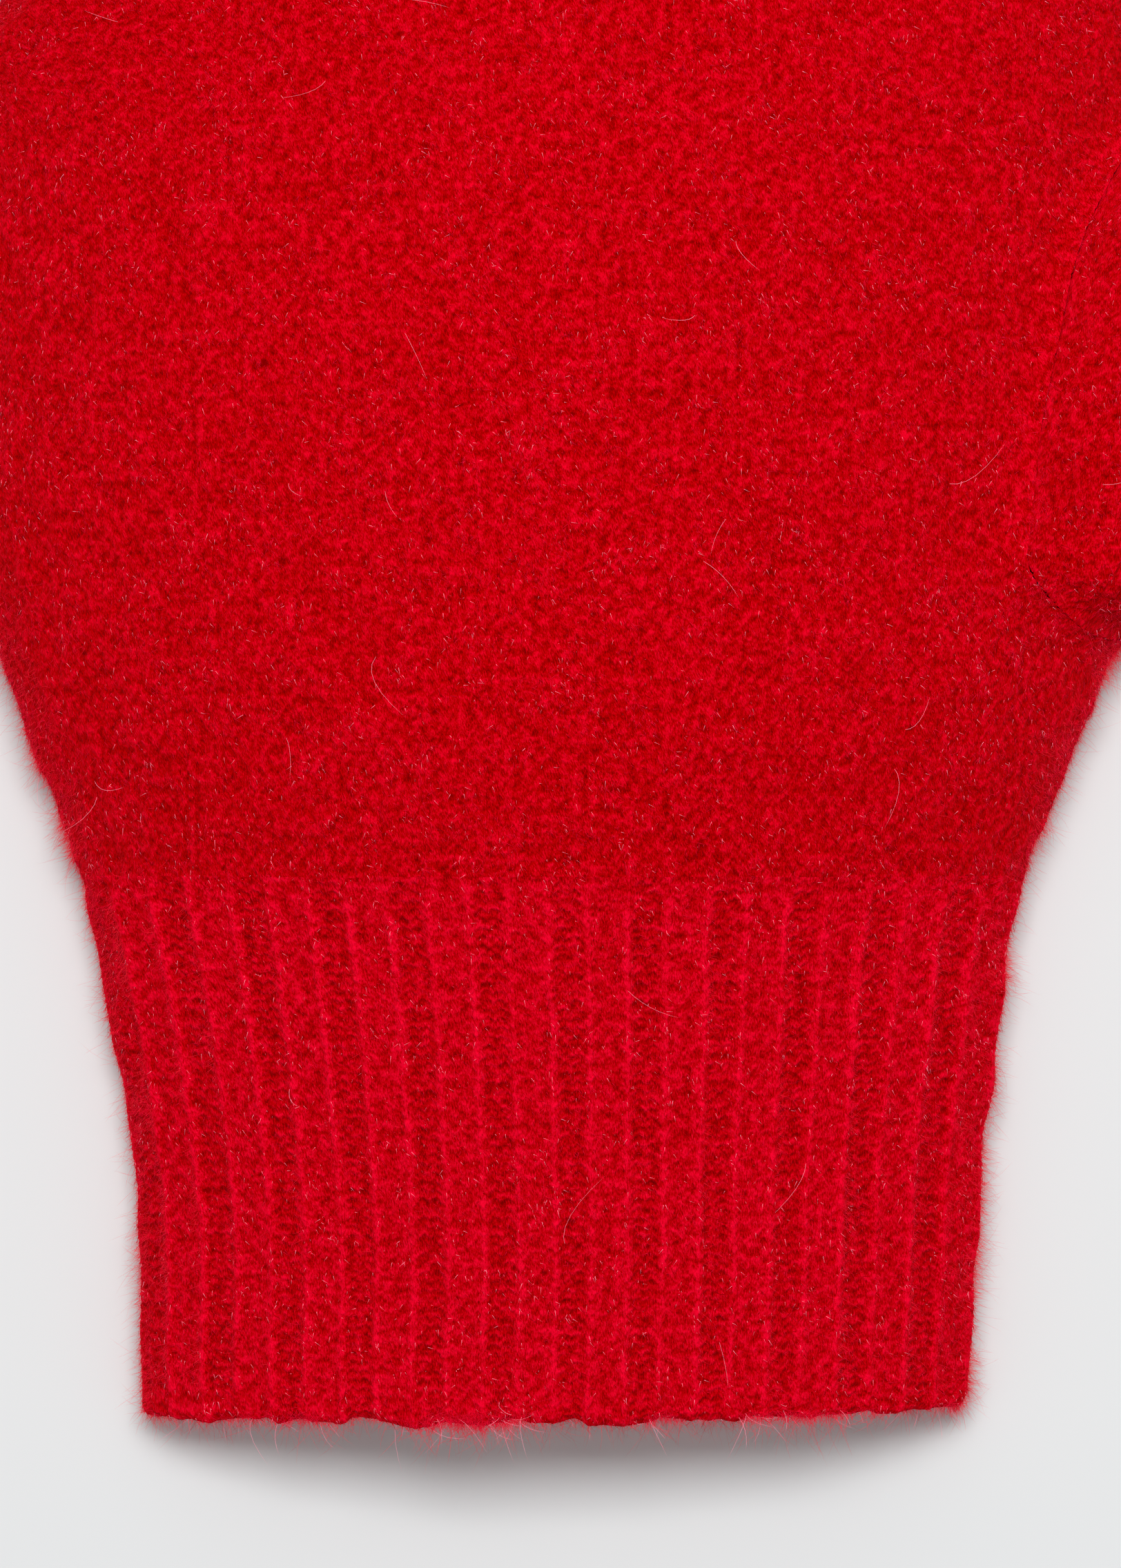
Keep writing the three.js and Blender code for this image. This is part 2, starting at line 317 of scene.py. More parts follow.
def sleeve_base():
    """The sleeve's points before relief: flat tube at the cuff, four finger roots at the end."""
    rows, inset, cuff_end = sleeve_rows()
    left, right, height, edge = smooth_stations(STATIONS, rows)
    over, over_z, under, under_z = lobes()
    grid = np.zeros((len(rows), AROUND, 3))
    for j, y in enumerate(rows):
        half, centre = (left[j] + right[j]) / 2 - inset[j], (right[j] - left[j]) / 2
        up, down = height[j] - edge[j] - inset[j], edge[j] - inset[j]
        shift = smooth((y - SPACING_FROM) / (SPACING_TO - SPACING_FROM))
        dip = smooth((y - DIPS_FROM) / (CROTCH_LINE - DIPS_FROM))
        x1, _ = arc(half, up, HAND_ARCH, TOP_COLUMNS)
        x2, _ = arc(half, down, BELLY, TOP_COLUMNS)
        x1, x2 = mix(x1, over * half, shift) + centre, mix(x2, under * half, shift) + centre
        z1 = mix(profile(x1, half, centre, up, HAND_ARCH), over_z, dip)
        z2 = mix(profile(x2, half, centre, down, BELLY), under_z, dip)
        level = mix(edge[j], FINGER_EDGE, dip)
        x = np.concatenate([x1[:-1], x2[::-1][:-1]])
        z = np.concatenate([z1[:-1], -z2[::-1][:-1]]) + level
        bowed = smooth((y - BOW_FROM) / (CROTCH_LINE - BOW_FROM))
        bow = CROTCH_BOW * (x - CROTCH_PEAK) ** 2 * bowed
        grid[j] = np.stack([x, y - bow, z], axis=-1)
    return grid, rows, inset, cuff_end, edge, height


# ---- The thumb, and where it meets the hand ----

def axes_of(splay):
    """The directions along and across a digit, in plan."""
    angle = math.radians(splay)
    along = np.array([math.sin(angle), math.cos(angle)])
    return along, np.array([along[1], -along[0]])


def implicit(x, z, left, right, height, edge, arch):
    """Below 0 inside a section, 0 on it and above 0 outside."""
    half, centre = (left + right) / 2, (right - left) / 2
    u = np.abs(x - centre) / half
    above = z >= edge
    w = np.where(above, (z - edge) / (height - edge), (edge - z) / edge)
    power = np.where(above, arch, BELLY)
    return (u ** power + np.abs(w) ** power) ** (1 / power) - 1


def hand_field(p):
    return implicit(p[..., 0], p[..., 2], *smooth_stations(STATIONS, p[..., 1]), HAND_ARCH)


def thumb_field(p):
    along, across = axes_of(THUMB_SPLAY)
    q = p[..., :2] - np.array(THUMB_ORIGIN)
    t = q @ along
    inside = implicit(q @ across, p[..., 2], *smooth_stations(THUMB_STATIONS, t), DIGIT_ARCH)
    start = THUMB_STATIONS[0, 0] - 4
    return inside + 1.5 * smooth((start + THUMB_FADE - t) / THUMB_FADE)


def distance(field, p):
    """About how far a point lies outside the surface where the field is 0, and which way."""
    step = 0.05
    value = field(p)
    slope = np.stack([(field(p + step * np.eye(3)[i]) - value) / step for i in range(3)], axis=-1)
    steep = np.linalg.norm(slope, axis=-1).clip(0.02)
    return value / steep, slope / steep[..., None]


def weld(p):
    """Draws points near both tubes onto one smooth surface, and gives their side of the seam."""
    for _ in range(3):
        a, towards_a = distance(hand_field, p)
        b, towards_b = distance(thumb_field, p)
        h = np.clip(0.5 + 0.5 * (b - a) / WELD, 0, 1)
        d = mix(b, a, h) - WELD * h * (1 - h)
        way = mix(towards_b, towards_a, h[..., None])
        way = way / np.linalg.norm(way, axis=-1, keepdims=True).clip(0.2)
        p = p - way * np.clip(d, -1.5, 1.5)[..., None]
    a, _ = distance(hand_field, p)
    b, _ = distance(thumb_field, p)
    return p, a - b


def trim(grid, side):
    """Moves the points just past the seam onto it, and says which points are kept.

    side is a point's distance from the seam, above 0 past it.
    """
    outside = side > 0
    moved, kept = grid.copy(), ~outside
    best = np.full(side.shape, np.inf)
    for axis, step in ((0, 1), (0, -1), (1, 1), (1, -1)):
        other, their = np.roll(grid, step, axis=axis), np.roll(side, step, axis=axis)
        if axis == 0:
            edge_row = 0 if step == 1 else -1
            their = their.copy()
            their[edge_row] = np.inf
        crossing = outside & (their <= 0)
        share = np.where(crossing, side / (side - np.where(crossing, their, -1)), np.inf)
        nearer = crossing & (share < best)
        moved[nearer] = mix(grid, other, np.where(nearer, share, 0)[..., None])[nearer]
        best[nearer] = share[nearer]
        kept |= nearer
    return moved, kept


# ---- Meshes ----

def place(points, sign):
    """From a glove's own millimetres to the shared frame's metres."""
    out = np.empty_like(points)
    out[..., 0] = sign * (CENTRE_X + points[..., 0])
    out[..., 1] = EDGE_Y + points[..., 1]
    out[..., 2] = points[..., 2]
    return out * MM


WALE_JUMP = 8  # more than this from one column to the next, and the count starts again


class Cloth:
    """A grid of points whose columns close on themselves, as faces with stitch coordinates."""

    def __init__(self, points, wale, course, relief, kept=None, closed_end=False):
        rows, columns = points.shape[:2]
        index = np.arange(rows * columns).reshape(rows, columns)
        a, b = index[:-1], np.roll(index, -1, axis=1)[:-1]
        c, d = np.roll(index, -1, axis=1)[1:], index[1:]
        quads = np.stack([a, b, c, d], axis=-1).reshape(-1, 4)
        next_wale = np.roll(wale, -1, axis=1)
        jumps = np.abs(next_wale - wale) > WALE_JUMP
        next_wale = np.where(jumps, wale + (wale[:, 1:2] - wale[:, 0:1]), next_wale)
        u = np.stack([wale[:-1], next_wale[:-1], next_wale[1:], wale[1:]], axis=-1)
        next_course = np.roll(course, -1, axis=1)
        v = np.stack([course[:-1], next_course[:-1], next_course[1:], course[1:]], axis=-1)
        self.uv = np.stack([u, v], axis=-1).reshape(-1, 4, 2)
        self.points = points.reshape(-1, 3)
        self.relief = relief.reshape(-1)
        self.quads = quads
        if kept is not None:
            use = kept.reshape(-1)[quads].all(axis=1)
            self.quads, self.uv = quads[use], self.uv[use]
        self.fans = np.zeros((0, 3), int)
        if closed_end:
            self.points = np.vstack([self.points, points[-1].mean(axis=0)])
            self.relief = np.append(self.relief, relief[-1].mean())
            last = index[-1]
            centre = np.full(columns, rows * columns)
            self.fans = np.stack([last, np.roll(last, -1), centre], axis=-1)
            ring_uv = np.stack([wale[-1], course[-1]], axis=-1)
            self.fan_uv = np.stack([ring_uv, ring_uv, ring_uv], axis=1)

    def scatter(self, density, rng):
        """Random points on the cloth, and its normals there.

        density gives the number per square millimetre from the faces' centres and normals.
        """
        corners = self.points[self.quads]
        cross = np.cross(corners[:, 2] - corners[:, 0], corners[:, 3] - corners[:, 1])
        double = np.linalg.norm(cross, axis=1)
        normal = cross / double.clip(1e-9)[:, None]
        wanted = double / 2 * density(corners.mean(axis=1), normal)
        chosen = np.repeat(np.arange(len(wanted)), rng.poisson(wanted))
        u, v = rng.random((2, len(chosen), 1))
        a, b, c, d = corners[chosen].transpose(1, 0, 2)
        return mix(mix(a, b, u), mix(d, c, u), v), normal[chosen]

    def mesh(self, name, sign):
        """The cloth as an object; sign is -1 for the left glove, which is mirrored."""
        used = np.unique(np.concatenate([self.quads.ravel(), self.fans.ravel()]))
        number = np.zeros(len(self.points), int)
        number[used] = np.arange(len(used))
        quads, fans = number[self.quads], number[self.fans]
        uv_quads = self.uv
        uv_fans = self.fan_uv if len(fans) else np.zeros((0, 3, 2))
        if sign < 0:
            quads, fans = quads[:, ::-1], fans[:, ::-1]
            uv_quads, uv_fans = uv_quads[:, ::-1], uv_fans[:, ::-1]
        return mesh_object(
            name,
            place(self.points[used], sign),
            np.concatenate([quads.ravel(), fans.ravel()]),
            np.concatenate([np.full(len(quads), 4), np.full(len(fans), 3)]),
            np.concatenate([uv_quads.reshape(-1, 2), uv_fans.reshape(-1, 2)]),
            self.relief[used],
        )


def mesh_object(name, points, corners, sizes, uv=None, relief=None, tones=None):
    """An object from points, the corners of all faces in a row, and how many each face has."""
    mesh = bpy.data.meshes.new(name)
    mesh.vertices.add(len(points))
    mesh.vertices.foreach_set("co", points.astype(np.float32).ravel())
    mesh.loops.add(len(corners))
    mesh.loops.foreach_set("vertex_index", corners.astype(np.int32))
    mesh.polygons.add(len(sizes))
    starts = np.concatenate([[0], np.cumsum(sizes)[:-1]])
    mesh.polygons.foreach_set("loop_start", starts.astype(np.int32))
    mesh.polygons.foreach_set("loop_total", sizes.astype(np.int32))
    mesh.polygons.foreach_set("use_smooth", np.ones(len(sizes), bool))
    if uv is not None:
        mesh.uv_layers.new(name="stitch").data.foreach_set("uv", uv.astype(np.float32).ravel())
    if relief is not None:
        made = mesh.attributes.new("relief", "FLOAT", "POINT")
        made.data.foreach_set("value", relief.astype(np.float32))
    if tones is not None:
        mesh.polygons.foreach_set("material_index", tones.astype(np.int32))
    mesh.update(calc_edges=True)
    mesh.validate()
    made = bpy.data.objects.new(name, mesh)
    bpy.context.scene.collection.objects.link(made)
    return made


# ---- Loose fibres, each a thin tapering strand with a triangle for its section ----

ROOT_DEPTH = 0.04  # how deep in the cloth a fibre starts
MOST_BEND = 1.3  # the strongest random bend, so that no fibre strays far from the cloth
DIGIT_FLANK = 0.35  # the digits' share of the fibres that stand off a flank


class Fuzz:
    """Strands gathered for one piece, in several tones."""

    def __init__(self, cloth, seed):
        self.cloth, self.rng = cloth, np.random.default_rng(seed)
        self.points, self.quads, self.tris, self.quad_tones, self.tri_tones = [], [], [], [], []
        self.count = 0

    def grow(self, density, length, thick, lift, tone,
             bends=0, lean=107.0, spread=20.0, curl=0.4, droop=0.4):
        """Strands from the cloth.

        length and thick are ranges in millimetres. lift is the range of degrees they stand up
        by, lean the plan angle they lie along, give or take spread, and bends the number of
        rings between root and tip. curl bends them sideways and droop back to the cloth.
        """
        rng = self.rng
        root, normal = self.cloth.scatter(density, rng)
        n = len(root)
        if not n:
            return
        swirl = 18 * noise(root, 3.0, 91)
        angle = np.radians(lean + 180 + swirl + spread * rng.standard_normal(n))
        flat = np.stack([np.cos(angle), np.sin(angle), np.zeros(n)], axis=1)
        flat -= normal * (flat * normal).sum(axis=1, keepdims=True)
        flat /= np.linalg.norm(flat, axis=1, keepdims=True).clip(0.05)
        rise = np.radians(rng.uniform(*lift, n))[:, None]
        way = flat * np.cos(rise) + normal * np.sin(rise)
        side = np.cross(normal, flat)
        size = rng.uniform(*length, (n, 1))
        bend = rng.standard_normal((n, 1)).clip(-MOST_BEND, MOST_BEND)
        turn = curl * bend * side - droop * normal * np.sin(rise)
        radius = rng.uniform(*thick, (n, 1)) / 2
        rings = bends + 1
        share = np.linspace(0, 1, rings + 1)

        def path(t):
            return root - ROOT_DEPTH * normal + size * (way * t + turn * t * t)

        verts = np.zeros((n, rings * 3 + 1, 3))
        for k in range(rings):
            axis = path(share[k + 1]) - path(share[k])
            axis /= np.linalg.norm(axis, axis=1, keepdims=True).clip(1e-6)
            u = np.cross(axis, normal + 0.01)
            u /= np.linalg.norm(u, axis=1, keepdims=True).clip(1e-6)
            v = np.cross(axis, u)
            wide = radius * (1 - 0.5 * share[k])
            for corner in range(3):
                a = 2 * math.pi * corner / 3
                around = u * math.cos(a) + v * math.sin(a)
                verts[:, 3 * k + corner] = path(share[k]) + wide * around
        verts[:, -1] = path(1.0)
        verts[..., 2] = verts[..., 2].clip(0.02)
        first = self.count + np.arange(n)[:, None] * (rings * 3 + 1)
        self.count += n * (rings * 3 + 1)
        self.points.append(verts.reshape(-1, 3))
        for k in range(rings - 1):
            for corner in range(3):
                a, b = 3 * k + corner, 3 * k + (corner + 1) % 3
                self.quads.append(first + np.array([a, b, b + 3, a + 3]))
                self.quad_tones.append(np.full(n, tone))
        top, tip = 3 * (rings - 1), 3 * rings
        sides = (top, top + 1, tip), (top + 1, top + 2, tip), (top + 2, top, tip)
        for tri in ((0, 2, 1), *sides):
            self.tris.append(first + np.array(tri))
            self.tri_tones.append(np.full(n, tone))

    def mesh(self, name, sign):
        quads = np.concatenate(self.quads + [np.zeros((0, 4), int)])
        tris = np.concatenate(self.tris)
        if sign < 0:
            quads, tris = quads[:, ::-1], tris[:, ::-1]
        return mesh_object(
            name,
            place(np.concatenate(self.points), sign),
            np.concatenate([quads.ravel(), tris.ravel()]),
            np.concatenate([np.full(len(quads), 4), np.full(len(tris), 3)]),
            tones=np.concatenate(self.quad_tones + self.tri_tones),
        )


# the bright fibres glow faintly, the flank fibres glow to paint light on the flanks, and the pale
# fibres are painted glints
RED, BRIGHT_GLOW, FLANK_GLOW, PAINTED_GLINT = range(4)  # the fibres' tones


def above(share, clumps=0.0, grain=(1.5, 1.5, 1.5)):
    """Density on the upper side, and a quarter of it underneath, gathered in clumps."""
    def density(p, n):
        gathered = 2.4 * smooth(0.3 + 1.4 * noise(p, grain, 85))
        return share * mix(0.25, 1.0, smooth(n[:, 2] * 2 + 1)) * mix(1.0, gathered, clumps)
    return density


def beside(share, clumps=0.0):
    """Density on the flanks, where fibres show against what is behind."""
    def density(p, n):
        gathered = 2.2 * smooth(0.35 + 1.2 * noise(p, 4.0, 86))
        return share * smooth(1.25 - 1.6 * np.abs(n[:, 2])) * mix(1.0, gathered, clumps)
    return density


def hanging(share):
    """Density at the cuff's edge, gathered in tufts."""
    def density(p, n):
        tufts = smooth(1.5 * noise(p, 4.5, 77) + 0.5)
        return share * smooth((1.6 - p[:, 1]) / 1.2) * tufts
    return density


def grow_nap(fuzz, ribbed, flank):
    """Short clumped fibres lying on the cloth, and longer ones standing off its flanks."""
    grain = (0.7, 3.5, 0.7) if ribbed else (1.5, 1.5, 1.5)
    nap = 0.55 if ribbed else 1.0
    fuzz.grow(above(1.4 * nap), (0.5, 1.4), (0.05, 0.08), (5, 35), RED)
    # the bright fibres are a brighter red, with a faint painted glow
    fuzz.grow(above(2.8 * nap, 0.9, grain), (0.4, 1.1), (0.035, 0.06), (8, 35), BRIGHT_GLOW, spread=28)
    # pale glowing fibres: painted glints
    fuzz.grow(above(1.0, 0.6), (0.2, 0.8), (0.025, 0.045), (4, 30), PAINTED_GLINT, spread=26)
    fuzz.grow(above(0.0018), (2.0, 6.0), (0.02, 0.03), (10, 50), PAINTED_GLINT,
              bends=5, spread=60, curl=0.8)
    fuzz.grow(beside(9.0 * flank), (0.5, 1.4), (0.03, 0.05), (20, 80), BRIGHT_GLOW, spread=60)
    # glowing fibres on the flanks: painted light that brightens the flanks
    fuzz.grow(beside(6.0 * flank), (0.4, 1.3), (0.025, 0.045), (40, 90), FLANK_GLOW, spread=60)
    fuzz.grow(beside(9.0 * flank, 0.7), (0.7, 1.8), (0.018, 0.028), (40, 90), FLANK_GLOW,
              bends=1, spread=60, curl=0.8, droop=0.1)
    fuzz.grow(beside(3.0 * flank, 0.7), (1.4, 3.0), (0.014, 0.022), (40, 90), BRIGHT_GLOW,
              bends=3, spread=60, curl=1.0, droop=0.1)


def grow_wisps(fuzz):
    """Fibres that stand out from the cuff's edge."""
    fuzz.grow(hanging(36), (0.5, 1.4), (0.02, 0.035), (30, 90), BRIGHT_GLOW,
              bends=2, spread=60, droop=0.1)
    fuzz.grow(hanging(16), (1.0, 2.8), (0.016, 0.026), (30, 90), BRIGHT_GLOW,
              bends=4, spread=80, curl=1.2, droop=0.0)
    # pale glowing fibres among the wisps: painted glints
    fuzz.grow(hanging(1.2), (1.2, 3.6), (0.02, 0.03), (20, 90), PAINTED_GLINT,
              bends=4, spread=70, curl=0.9, droop=0.2)


# ---- Building one glove's cloths ----

def join_thumb(base, rows, inset):
    """Draws the hand towards the thumb, in place, and gives each point's side of the seam."""
    side = np.full(base.shape[:2], NO_SEAM)
    first, last = WELD_ROWS
    near = np.nonzero((rows > first) & (rows < last) & (inset == 0))[0]
    patch, patch_side = base[near], side[near]
    reach = patch[..., 0] > WELD_X
    welded, seam_side = weld(patch[reach])
    x, y = patch[reach][:, 0], patch[reach][:, 1]
    fade = smooth((x - WELD_X) / 12) * smooth((y - (first + 1)) / 10)
    patch[reach] = mix(patch[reach], welded, fade[:, None])
    patch_side[reach] = np.where(patch[reach][:, 0] > WELD_X + 10, seam_side, NO_SEAM)
    base[near], side[near] = patch, patch_side
    return side


def edge_shift(base, wale):
    """How far the cuff's edge is drawn in: its waves, its slant and its rounded corners."""
    waves = 0.12 * np.cos(2 * np.pi * wale / REPEAT) + 0.25 * noise(base, 1.3, 61)
    waves = waves + 0.4 * noise(base, 3.0, 60)
    slant = 0.009 * base[..., 0]
    towards_thumb = ((base[..., 0] - 33.2) / 3.6).clip(0, 0.97)
    away = ((-base[..., 0] - 35.8) / 1.8).clip(0, 0.97)
    corners = 2.6 * (1 - np.sqrt(1 - towards_thumb ** 2)) + 1.0 * (1 - np.sqrt(1 - away ** 2))
    return waves + slant + corners


def build_sleeve():
    """The cuff and the hand, with a hole where the thumb joins it."""
    base, rows, inset, cuff_end, edge, height = sleeve_base()
    wale = np.broadcast_to(FIRST_WALE + np.arange(AROUND) / PER_WALE, base.shape[:2])
    y = np.broadcast_to(rows[:, None], base.shape[:2])
    inside = (inset > FABRIC / 2)[:, None]
    side = join_thumb(base, rows, inset)
    n = normals(base)

    # how much of a rib there is at each point, with a ragged line where the ribs end
    ragged = 1.2 * noise(base, 2.4, 40)
    ribbed = 1 - smooth((y + ragged - (WRIST - RIBS_FADE_FROM)) / RIBS_FADE)
    near_edge = 1 - smooth(y / EDGE_ZONE)
    uneven = 0.35 * noise(base, 1.6, 41)
    ribs = rib_relief(wale, y, uneven) * np.where(inside, -0.8, 1.0) * (1 - 0.6 * near_edge)
    hand_wale = plain_wales(base[..., 0], base[..., 2], height[:, None], edge[:, None])
    plain = plain_relief(hand_wale, y / COURSE)

    # the nap is drawn out lengthwise in the ribs
    drawn = base.copy()
    drawn[..., 1] = WRIST + (y - WRIST) * mix(1.0, 0.3, ribbed)
    tufts, swells = nap_relief(drawn)
    tuft_share = mix(1.0, 0.45, ribbed)
    swell_share = np.where(inside, 0.3, 1.0) * mix(1.0, 0.7, ribbed)
    detail = ribs * ribbed + plain * (1 - ribbed) + tufts * tuft_share
    flank = 0.30 * noise(base, 4.2, 70) * smooth(2 * np.abs(n[..., 0]) - 0.6) * ~inside
    seam = seam_relief(side)
    lift = detail + (swells * swell_share + flank) * off_floor(base) - SINK + seam
    shaped = base + n * lift[..., None]
    shaped[..., 1] += near_edge * edge_shift(base, wale)
    shaped[..., 2] = shaped[..., 2].clip(CLEARANCE)

    # the crotches, where the top and the bottom of the last row meet
    for finger in range(1, 4):
        over, under = finger * FINGER_COLUMNS, AROUND - finger * FINGER_COLUMNS
        middle = (shaped[-1, over] + shaped[-1, under]) / 2
        shaped[-1, over] = shaped[-1, under] = middle
    shaped, kept = trim(shaped, side)
    return {
        "points": shaped, "base": base, "kept": kept, "relief": detail + 0.5 * seam,
        "cuff_end": cuff_end, "wale": wale, "hand_wale": hand_wale, "course": y / COURSE,
    }


def tube(stations, columns, start, length, root, splay, first=None):
    """A digit's points before relief, and the same as section x, z and distance along it.

    first is the row of points it starts from, if it grows out of another tube. Its height and
    the height of its widest line come last, for each row.
    """
    along, across = axes_of(splay)
    straight = length - TIP_ROUND
    rows = np.arange(start, straight, DIGIT_ROW)
    turn = np.linspace(0, 0.97, round(TIP_ROUND * 1.25 / DIGIT_ROW)) * np.pi / 2
    t = np.concatenate([rows, straight + TIP_ROUND * np.sin(turn)])
    shrink = np.concatenate([np.ones(len(rows)), np.cos(turn) ** 0.9])
    left, right, height, edge = smooth_stations(stations, t)
    top = columns // 2
    grid = np.zeros((len(t), columns, 3))
    local = np.zeros((len(t), columns, 2))
    for j in range(len(t)):
        x, z = ring(left[j], right[j], height[j], edge[j], top, columns - top)
        x, z = x * shrink[j], edge[j] + (z - edge[j]) * shrink[j]
        local[j] = np.stack([x, z], axis=-1)
    along_t = np.broadcast_to(t[:, None], (len(t), columns)).copy()
    if first is not None:
        offset = first[:, :2] - np.array(root)
        settle = 1 - smooth((t - start) / SETTLE)[:, None]
        local[..., 0] = mix(local[..., 0], offset @ across, settle)
        local[..., 1] = mix(local[..., 1], first[:, 2], settle)
        straighten = 1 - smooth((t - start) / STRAIGHTEN)[:, None]
        along_t += (offset @ along - start) * straighten
    grid[..., :2] = np.array(root) + local[..., :1] * across + along_t[..., None] * along
    grid[..., 2] = local[..., 1]
    return grid, local, along_t, height[:, None], edge[:, None]


def digit_relief(base, local, along_t, height, edge):
    """How far to lift a digit's points, their relief, and their wales and courses."""
    wale = plain_wales(local[..., 0], local[..., 1], height, edge)
    course = along_t / COURSE
    tufts, swells = nap_relief(base)
    detail = plain_relief(wale, course) + tufts
    lift = detail + 0.6 * swells * off_floor(base) - SINK
    return lift, detail, wale, course


def finger_root(name):
    """The x and y where a finger starts, on the bowed line of the finger roots."""
    x = FINGERS[name][0]
    return x, CROTCH_LINE - CROTCH_BOW * (x - CROTCH_PEAK) ** 2


def build_finger(name, sleeve):
    """A finger whose first row is its share of the sleeve's last row."""
    _, splay, half, length = FINGERS[name]
    order = list(FINGERS).index(name)
    top = np.arange(order * FINGER_COLUMNS, (order + 1) * FINGER_COLUMNS)
    bottom = np.arange(AROUND - (order + 1) * FINGER_COLUMNS, AROUND - order * FINGER_COLUMNS)
    chosen = np.concatenate([top, bottom]) % AROUND
    slim = half * FINGER_TAPER
    stations = np.array([
        (-16.0, half, half, FINGER_HEIGHT, FINGER_EDGE),
        (0.0, half, half, FINGER_HEIGHT, FINGER_EDGE),
        (length - TIP_ROUND, slim, slim, FINGER_HEIGHT, FINGER_EDGE),
    ])
    base, local, along_t, height, edge = tube(
        stations, 2 * FINGER_COLUMNS, 0.0, length, finger_root(name), splay,
        sleeve["base"][-1, chosen],
    )
    lift, detail, wale, course = digit_relief(base, local, along_t, height, edge)
    shaped = base + normals(base) * lift[..., None]
    shaped[..., 2] = shaped[..., 2].clip(CLEARANCE)
    shaped[0] = sleeve["points"][-1, chosen]
    detail[0] = sleeve["relief"][-1, chosen]
    return {
        "points": shaped, "relief": detail, "wale": wale, "course": course,
        "t": along_t[:, 0], "kept": None,
    }


def build_thumb():
    """The thumb, cut off where it runs into the hand."""
    base, local, along_t, height, edge = tube(
        THUMB_STATIONS, THUMB_COLUMNS, THUMB_STATIONS[0, 0] - 3, THUMB_LENGTH,
        THUMB_ORIGIN, THUMB_SPLAY,
    )
    near = along_t[:, 0] < THUMB_CLEAR
    welded, seam_side = weld(base[near])
    base[near] = welded
    side = np.full(base.shape[:2], NO_SEAM)
    side[near] = -seam_side
    lift, detail, wale, course = digit_relief(base, local, along_t, height, edge)
    seam = seam_relief(side)
    shaped = base + normals(base) * (lift + seam)[..., None]
    shaped[..., 2] = shaped[..., 2].clip(CLEARANCE)
    shaped, kept = trim(shaped, side)
    return {
        "points": shaped, "relief": detail + 0.5 * seam, "wale": wale, "course": course,
        "t": along_t[:, 0], "kept": kept,
    }


def span(part, first, last, closed_end=False, wales="wale"):
    """The rows of a part from first to last as a Cloth."""
    rows = slice(first, last)
    kept = None if part["kept"] is None else part["kept"][rows]
    return Cloth(
        part["points"][rows], part[wales][rows], part["course"][rows], part["relief"][rows],
        kept, closed_end,
    )


sleeve = build_sleeve()
digits = {name: build_finger(name, sleeve) for name in FINGERS}
digits["thumb"] = build_thumb()


# ---- Materials ----

def node(tree, kind, **settings):
    """A shader node; settings that start with in_ are the values of its sockets."""
    made = tree.nodes.new("ShaderNode" + kind)
    for key, value in settings.items():
        if key.startswith("in_"):
            made.inputs[key[3:].replace("_", " ")].default_value = value
        else:
            setattr(made, key, value)
    return made


